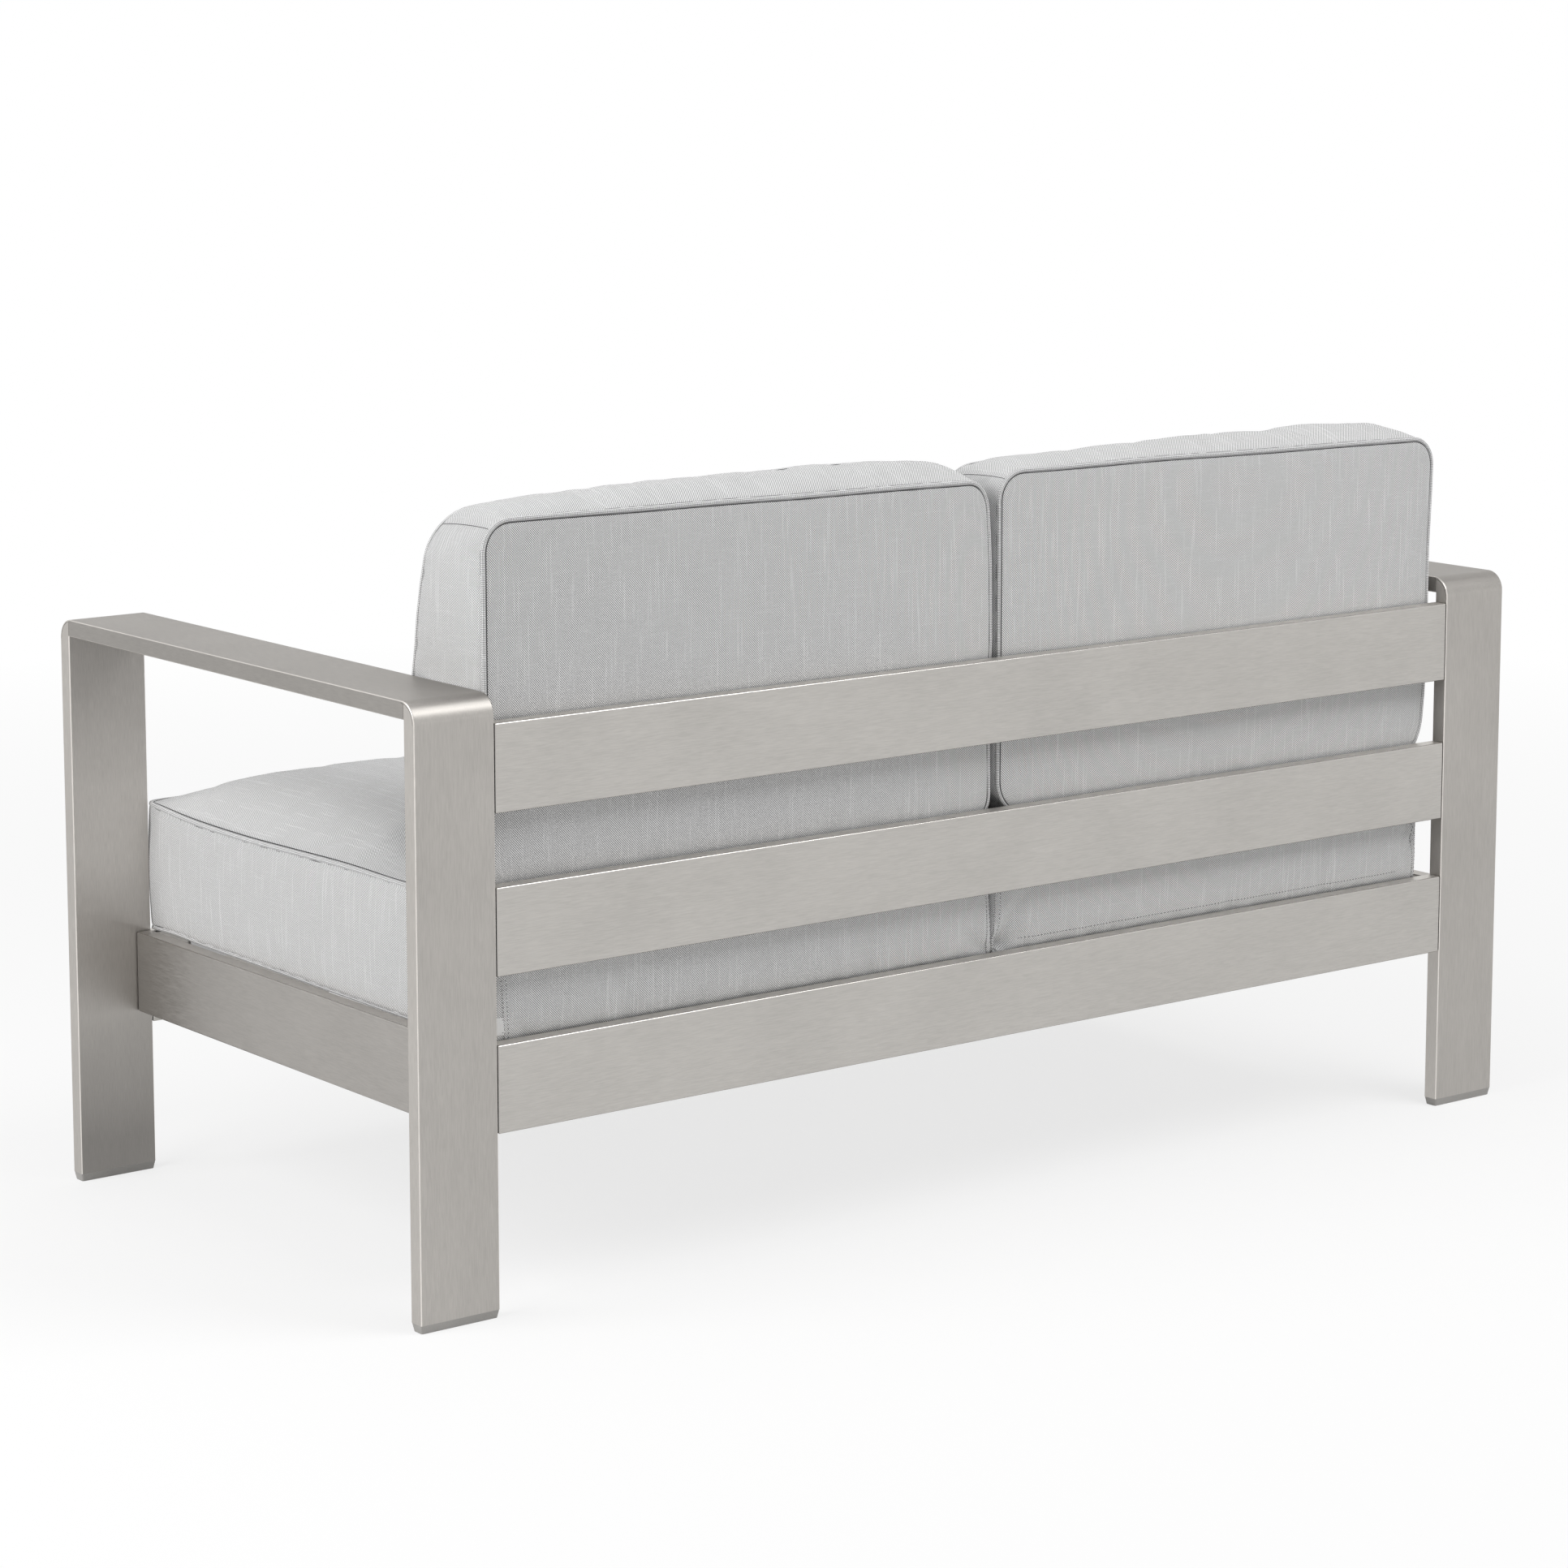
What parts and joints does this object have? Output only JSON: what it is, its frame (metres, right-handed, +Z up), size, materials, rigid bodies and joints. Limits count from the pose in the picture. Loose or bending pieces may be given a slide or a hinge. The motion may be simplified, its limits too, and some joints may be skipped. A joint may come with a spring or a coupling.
{
  "type": "garden sofa",
  "caption": "Low garden sofa with brushed flat-tube aluminium arms and back rails, a slatted deck and loose box cushions with piped edges.",
  "frame": {"origin": "on the floor under the middle of the sofa, at the centre of its footprint", "axes": "+Z up, -Y where the sitter faces, +X the sitter's left, along the longest side"},
  "size_m": [1.4, 0.654, 0.7511],
  "materials": {
    "brushed_frame": "brushed",
    "brushed_rail": "brushed",
    "slat_aluminium": "satin",
    "plain_aluminium": "mill",
    "screw_steel": "satin",
    "foot_plastic": "matte",
    "plug_plastic": "matte",
    "cushion_fabric": "woven",
    "foam": "open foam",
    "zip_plastic": "coil",
    "zip_metal": "satin"
  },
  "bodies": {
    "frame": {"left_arm_frame": "brushed_frame", "right_arm_frame": "brushed_frame", "left_side_rail": "brushed_rail", "right_side_rail": "brushed_rail", "back_top_rail": "brushed_rail", "back_middle_rail": "brushed_rail", "back_bottom_rail": "brushed_rail", "front_rail": "brushed_rail", "front_left_foot": "foot_plastic", "front_right_foot": "foot_plastic", "rear_left_foot": "foot_plastic", "rear_right_foot": "foot_plastic", "left_back_spigots": "plain_aluminium", "right_back_spigots": "plain_aluminium", "left_side_spigots": "plain_aluminium", "right_side_spigots": "plain_aluminium", "front_rail_spigots": "plain_aluminium", "back_rail_screws": "screw_steel", "side_rail_screws": "screw_steel", "front_rail_screws": "screw_steel", "front_ledge": "plain_aluminium", "rear_ledge": "plain_aluminium", "ledge_screws": "screw_steel", "slat_screws": "screw_steel", "slat_plugs": "plug_plastic", "seat_slat_1": "slat_aluminium", "seat_slat_2": "slat_aluminium", "seat_slat_3": "slat_aluminium", "seat_slat_4": "slat_aluminium", "seat_slat_5": "slat_aluminium", "seat_slat_6": "slat_aluminium", "seat_slat_7": "slat_aluminium", "seat_slat_8": "slat_aluminium"},
    "left_seat_cushion": {"left_seat_cover": "cushion_fabric", "left_seat_core": "foam", "left_seat_zip": "zip_plastic"},
    "left_seat_slider": {"left_seat_zip_slider": "zip_metal"},
    "left_back_cushion": {"left_back_cover": "cushion_fabric", "left_back_core": "foam", "left_back_zip": "zip_plastic"},
    "left_back_slider": {"left_back_zip_slider": "zip_metal"},
    "right_seat_cushion": {"right_seat_cover": "cushion_fabric", "right_seat_core": "foam", "right_seat_zip": "zip_plastic"},
    "right_seat_slider": {"right_seat_zip_slider": "zip_metal"},
    "right_back_cushion": {"right_back_cover": "cushion_fabric", "right_back_core": "foam", "right_back_zip": "zip_plastic"},
    "right_back_slider": {"right_back_zip_slider": "zip_metal"}
  },
  "joints": [
    {"name": "left_seat_lift", "type": "slide", "parent": "frame", "child": "left_seat_cushion", "axis": [0, 0, 1], "range_m": [0, 0.4]},
    {"name": "left_seat_zip_slide", "type": "slide", "parent": "left_seat_cushion", "child": "left_seat_slider", "axis": [1, 0, 0], "range_m": [0, 0.41]},
    {"name": "left_back_lift", "type": "slide", "parent": "left_seat_cushion", "child": "left_back_cushion", "axis": [0, 0, 1], "range_m": [0, 0.3]},
    {"name": "left_back_zip_slide", "type": "slide", "parent": "left_back_cushion", "child": "left_back_slider", "axis": [1, 0, 0], "range_m": [0, 0.41]},
    {"name": "right_seat_lift", "type": "slide", "parent": "frame", "child": "right_seat_cushion", "axis": [0, 0, 1], "range_m": [0, 0.4]},
    {"name": "right_seat_zip_slide", "type": "slide", "parent": "right_seat_cushion", "child": "right_seat_slider", "axis": [-1, 0, 0], "range_m": [0, 0.41]},
    {"name": "right_back_lift", "type": "slide", "parent": "right_seat_cushion", "child": "right_back_cushion", "axis": [0, 0, 1], "range_m": [0, 0.3]},
    {"name": "right_back_zip_slide", "type": "slide", "parent": "right_back_cushion", "child": "right_back_slider", "axis": [-1, 0, 0], "range_m": [0, 0.41]}
  ]
}
